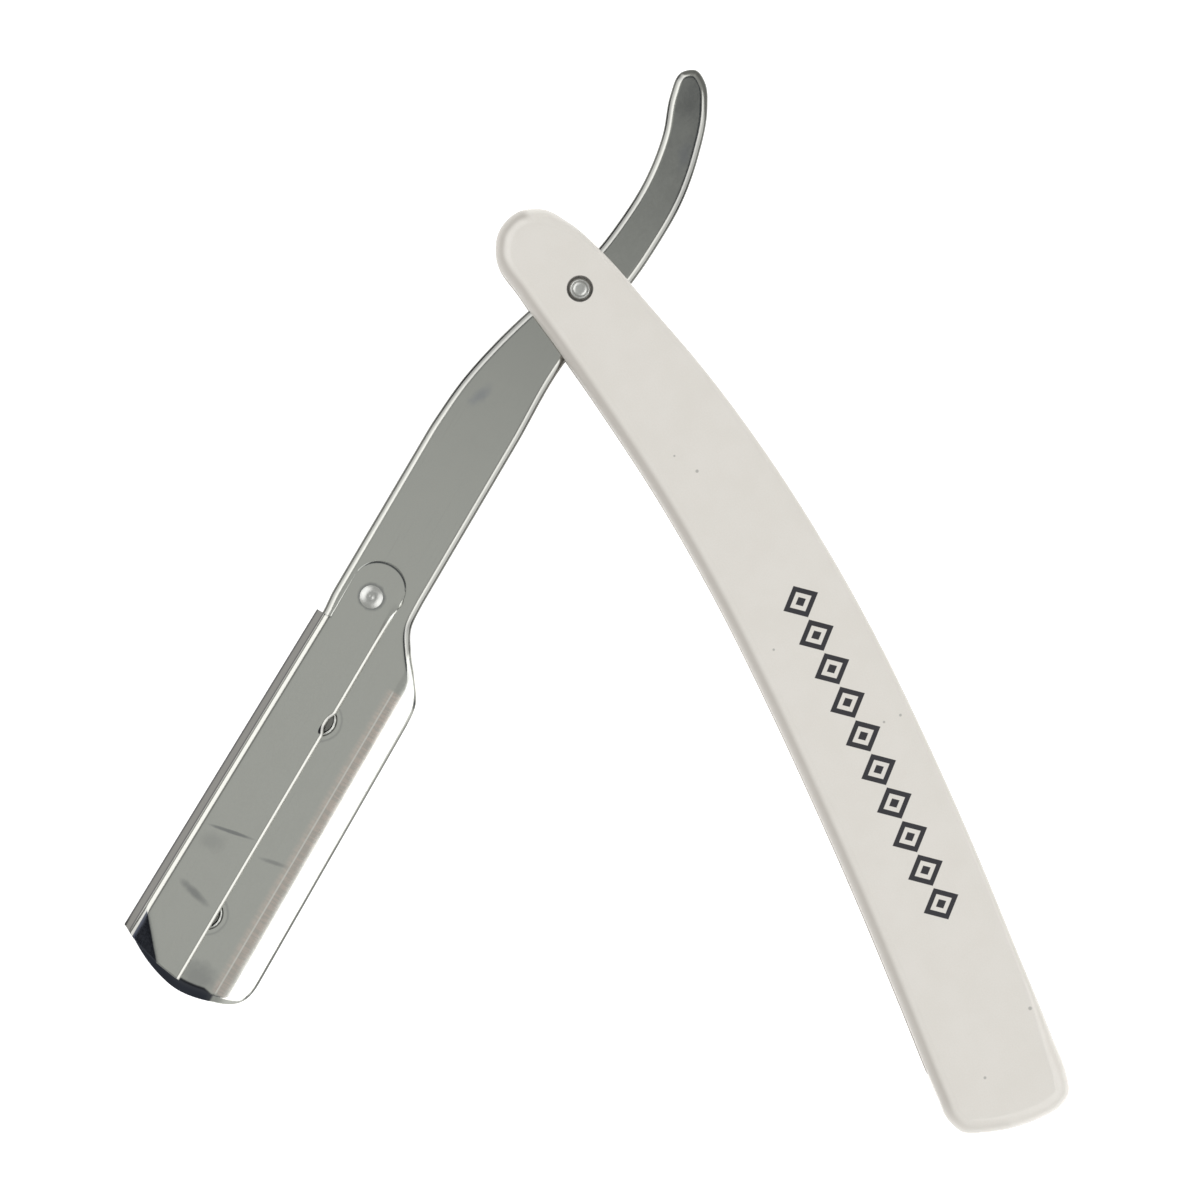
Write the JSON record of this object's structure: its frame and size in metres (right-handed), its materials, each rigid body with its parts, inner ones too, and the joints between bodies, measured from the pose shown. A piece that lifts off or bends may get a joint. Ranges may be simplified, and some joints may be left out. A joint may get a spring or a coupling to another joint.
{
  "type": "folding half-blade razor",
  "caption": "Folding barber razor: slotted white plastic handle, pressed steel blade arm with curved tail, studs and a swing clamp for a half-blade.",
  "frame": {"origin": "centre of the part's box in plan, at the surface that the handle's rear face lies on", "axes": "+X along the handle from the pivot to its far end, +Y to the handle's convex side, +Z out of the front face"},
  "size_m": [0.1366, 0.1136, 0.01],
  "materials": {
    "white_plastic": "glossy off-white moulding",
    "arm_steel": "polished stainless sheet",
    "clamp_steel": "polished stainless sheet",
    "pin_steel": "polished"
  },
  "bodies": {
    "handle": {"handle": "white_plastic", "pivot_pin": "pin_steel", "pivot_collar_front": "pin_steel", "pivot_collar_rear": "pin_steel", "spacer_washer_front": "pin_steel", "spacer_washer_rear": "pin_steel"},
    "arm": {"blade_arm": "arm_steel", "blade_stud_upper": "arm_steel", "blade_stud_lower": "arm_steel", "clamp_rivet": "pin_steel", "clamp_spacer_bush": "pin_steel"},
    "clamp": {"swing_clamp": "clamp_steel"}
  },
  "joints": [
    {"name": "arm_pivot", "type": "hinge", "parent": "handle", "child": "arm", "pos_m": [-0.05005, 0.03068, 0.005], "axis": [0, 0, 1], "range_deg": [-211.5, 57]},
    {"name": "clamp_swing", "type": "hinge", "parent": "arm", "child": "clamp", "pos_m": [-0.02842, -0.01036, 0.005], "axis": [0, 0, 1], "range_deg": [-85, 0]}
  ]
}
